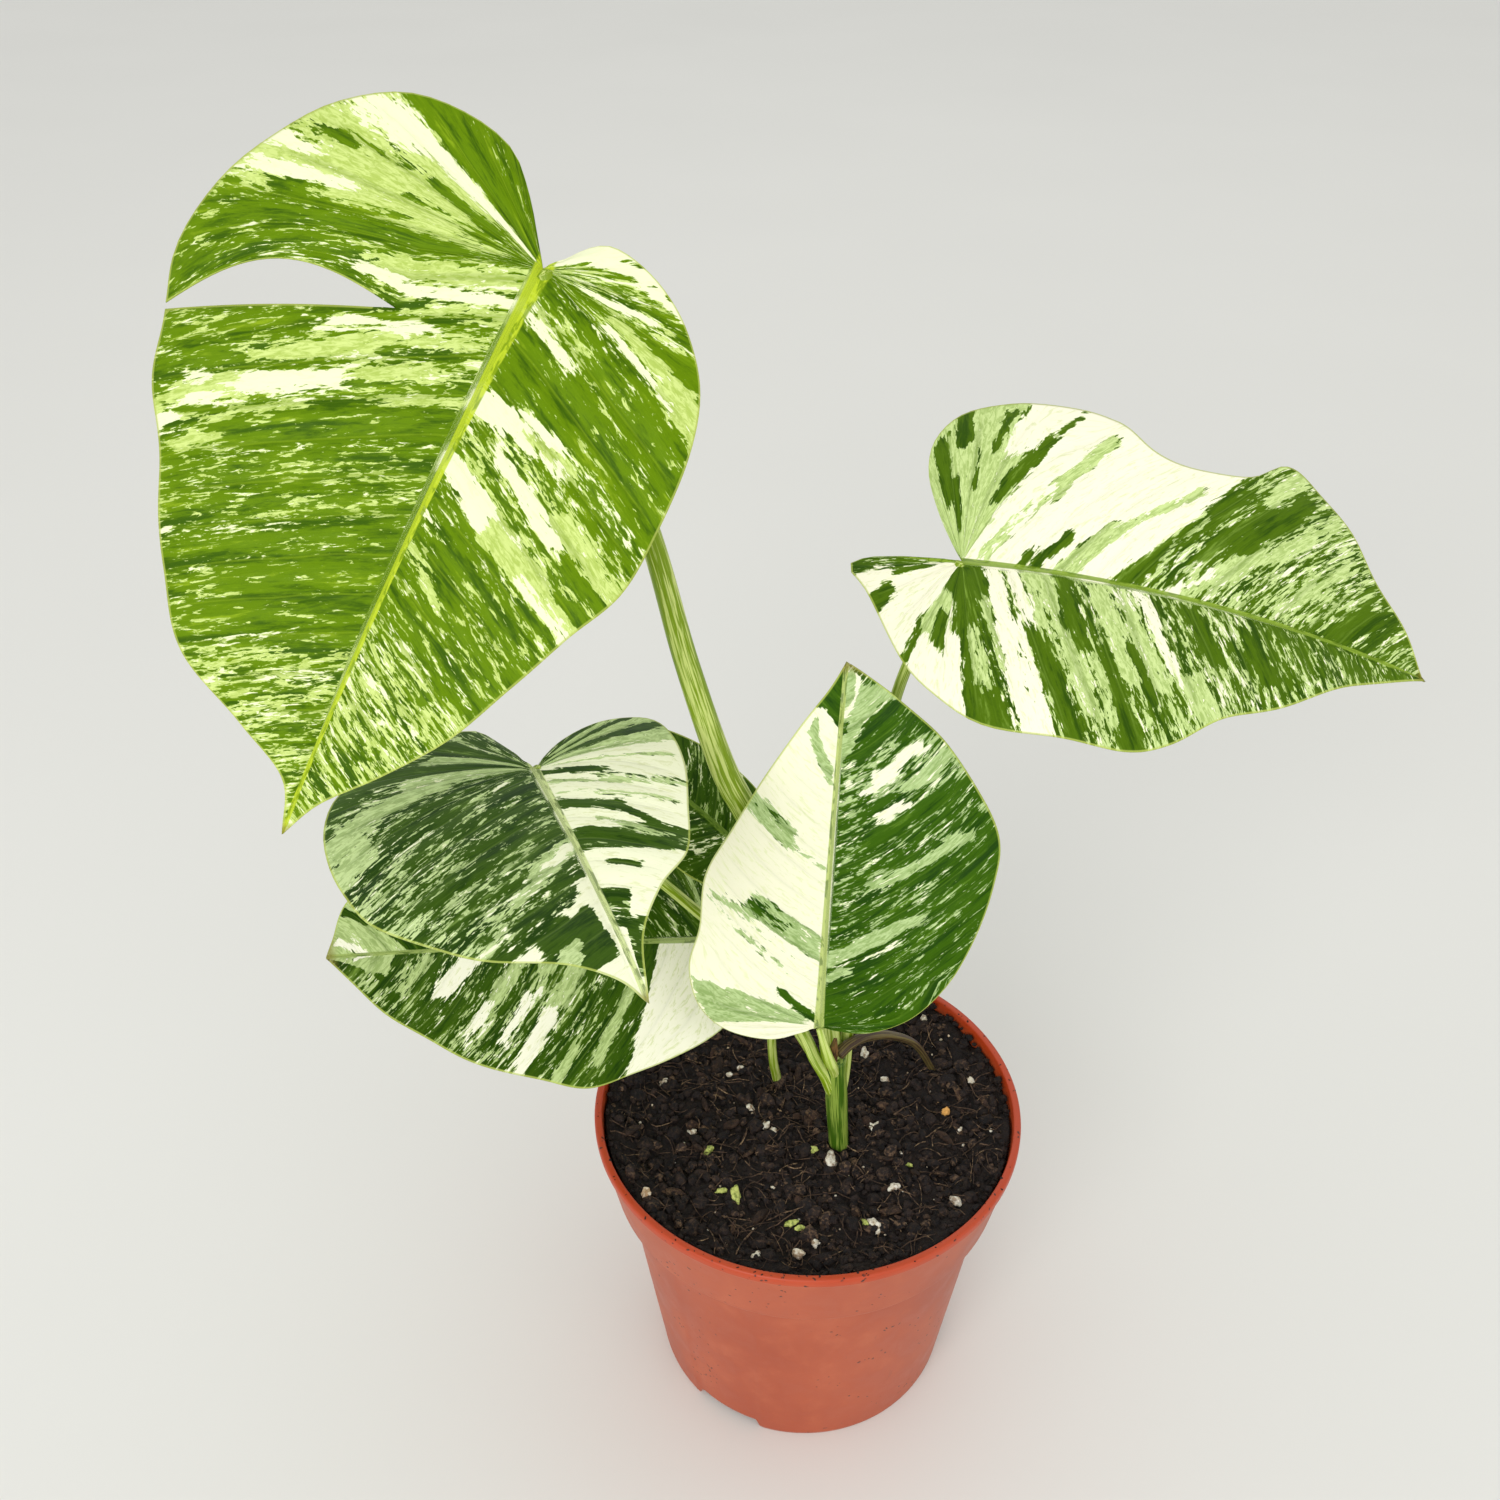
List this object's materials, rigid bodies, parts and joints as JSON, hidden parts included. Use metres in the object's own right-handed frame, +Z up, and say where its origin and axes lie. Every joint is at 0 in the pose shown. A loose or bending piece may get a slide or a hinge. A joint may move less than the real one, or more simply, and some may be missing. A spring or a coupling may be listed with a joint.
{
  "type": "potted monstera plant",
  "caption": "Young variegated monstera with broad heart-shaped leaves on thin stalks, growing from soil in a round tapered nursery pot.",
  "frame": {"origin": "middle of the pot's underside, on the surface it stands on", "axes": "+Z up along the pot's centre line; the plant's front, where the upright leaf shows its upper face, looks along -Y; the largest leaf is on the -X side"},
  "size_m": [0.2946, 0.1553, 0.3877],
  "materials": {
    "terracotta_plastic": "satin",
    "soil_mix": "rough",
    "green_stalk": "satin",
    "variegated_blade": "satin",
    "brown_root": "rough",
    "dry_sheath": "rough"
  },
  "bodies": {
    "root": {"nursery_pot": "terracotta_plastic", "potting_soil": "soil_mix", "main_stem": "green_stalk", "aerial_root": "brown_root", "papery_sheath": "dry_sheath", "stalk_upper_left": "green_stalk", "stalk_right": "green_stalk", "stalk_middle_left": "green_stalk", "stalk_front": "green_stalk", "stalk_lower_left": "green_stalk", "stalk_back": "green_stalk", "leaf_upper_left": "variegated_blade", "leaf_right": "variegated_blade", "leaf_middle_left": "variegated_blade", "leaf_front": "variegated_blade", "leaf_lower_left": "variegated_blade", "leaf_back": "variegated_blade"}
  },
  "joints": []
}
